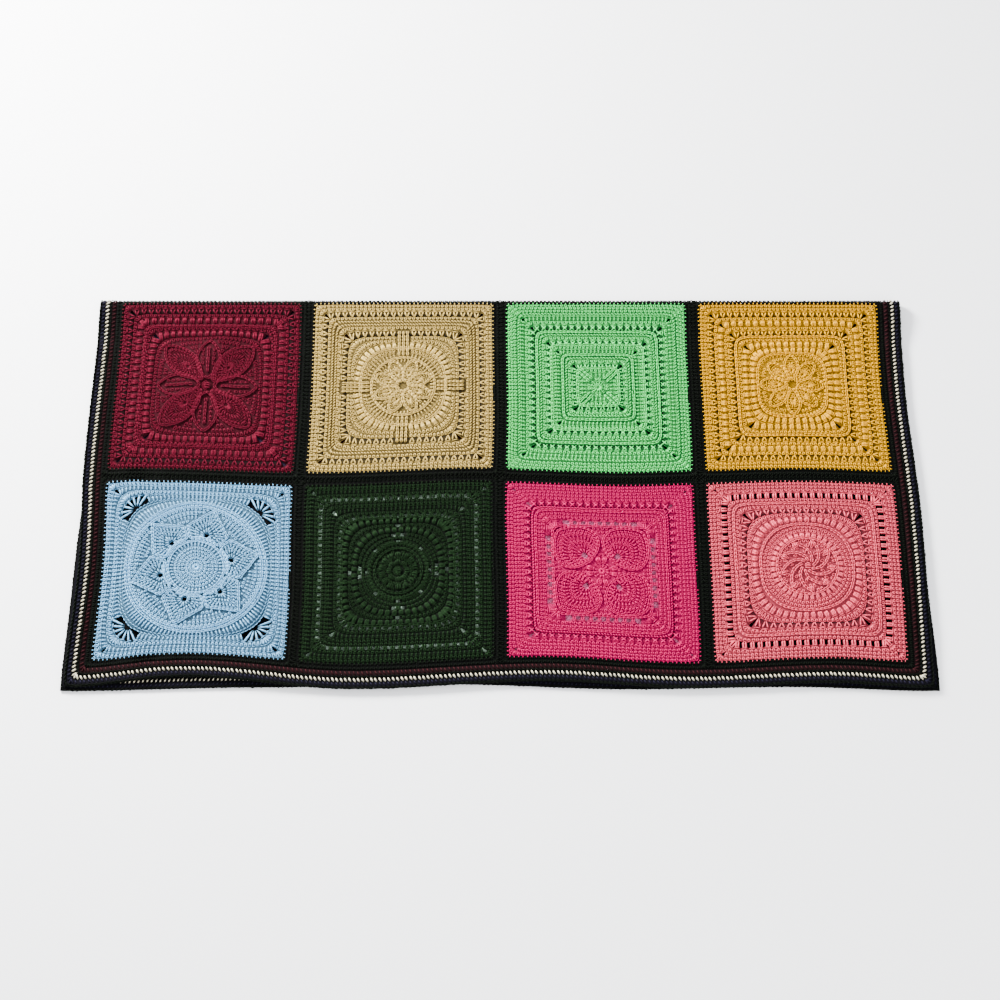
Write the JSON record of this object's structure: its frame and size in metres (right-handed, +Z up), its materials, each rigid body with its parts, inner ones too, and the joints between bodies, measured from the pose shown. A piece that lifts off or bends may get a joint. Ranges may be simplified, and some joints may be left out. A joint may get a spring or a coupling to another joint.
{
  "type": "granny square blanket",
  "caption": "Crocheted blanket of coloured square motifs with black joining and a narrow striped edging, folded once in half and lying flat.",
  "frame": {"origin": "centre of the footprint of the folded blanket, on the surface that it lies on", "axes": "+X along the fold and the hems, +Y from the hems towards the fold, +Z up from the surface"},
  "size_m": [1.387, 0.6914, 0.024],
  "materials": {
    "yarn_light_blue": "light blue wool-blend yarn, crocheted, matt and slightly fuzzy",
    "yarn_dark_green": "dark green wool-blend yarn, crocheted, matt and slightly fuzzy",
    "yarn_hot_pink": "hot pink wool-blend yarn, crocheted, matt and slightly fuzzy",
    "yarn_salmon": "salmon wool-blend yarn, crocheted, matt and slightly fuzzy",
    "yarn_maroon": "maroon wool-blend yarn, crocheted, matt and slightly fuzzy",
    "yarn_tan": "tan wool-blend yarn, crocheted, matt and slightly fuzzy",
    "yarn_mint": "mint wool-blend yarn, crocheted, matt and slightly fuzzy",
    "yarn_mustard": "mustard wool-blend yarn, crocheted, matt and slightly fuzzy",
    "yarn_lilac": "lilac wool-blend yarn, crocheted, matt and slightly fuzzy",
    "yarn_rust": "rust wool-blend yarn, crocheted, matt and slightly fuzzy",
    "yarn_teal": "teal wool-blend yarn, crocheted, matt and slightly fuzzy",
    "yarn_sage": "sage wool-blend yarn, crocheted, matt and slightly fuzzy",
    "yarn_navy": "navy wool-blend yarn, crocheted, matt and slightly fuzzy",
    "yarn_cream": "cream wool-blend yarn, crocheted, matt and slightly fuzzy",
    "yarn_lemon": "lemon wool-blend yarn, crocheted, matt and slightly fuzzy",
    "yarn_grey": "grey wool-blend yarn, crocheted, matt and slightly fuzzy",
    "yarn_black": "black wool-blend yarn, crocheted, matt and slightly fuzzy",
    "edging_stripes": "narrow rounds of dull maroon, black, cream, dark violet and black yarn"
  },
  "bodies": {
    "root": {"square_light_blue": "yarn_light_blue", "square_dark_green": "yarn_dark_green", "square_hot_pink": "yarn_hot_pink", "square_salmon": "yarn_salmon", "square_maroon": "yarn_maroon", "square_tan": "yarn_tan", "square_mint": "yarn_mint", "square_mustard": "yarn_mustard", "square_lilac": "yarn_lilac", "square_rust": "yarn_rust", "square_teal": "yarn_teal", "square_sage": "yarn_sage", "square_navy": "yarn_navy", "square_cream": "yarn_cream", "square_lemon": "yarn_lemon", "square_grey": "yarn_grey", "joining_top_hem": "yarn_black", "joining_top": "yarn_black", "joining_fold": "yarn_black", "joining_under": "yarn_black", "joining_under_hem": "yarn_black", "joining_row1_1": "yarn_black", "joining_row1_2": "yarn_black", "joining_row1_3": "yarn_black", "joining_row1_4": "yarn_black", "joining_row1_5": "yarn_black", "joining_row2_1": "yarn_black", "joining_row2_2": "yarn_black", "joining_row2_3": "yarn_black", "joining_row2_4": "yarn_black", "joining_row2_5": "yarn_black", "joining_row3_1": "yarn_black", "joining_row3_2": "yarn_black", "joining_row3_3": "yarn_black", "joining_row3_4": "yarn_black", "joining_row3_5": "yarn_black", "joining_row4_1": "yarn_black", "joining_row4_2": "yarn_black", "joining_row4_3": "yarn_black", "joining_row4_4": "yarn_black", "joining_row4_5": "yarn_black", "edging_top_hem": "edging_stripes", "edging_under_hem": "edging_stripes", "edging_left": "edging_stripes", "edging_right": "edging_stripes"}
  },
  "joints": []
}
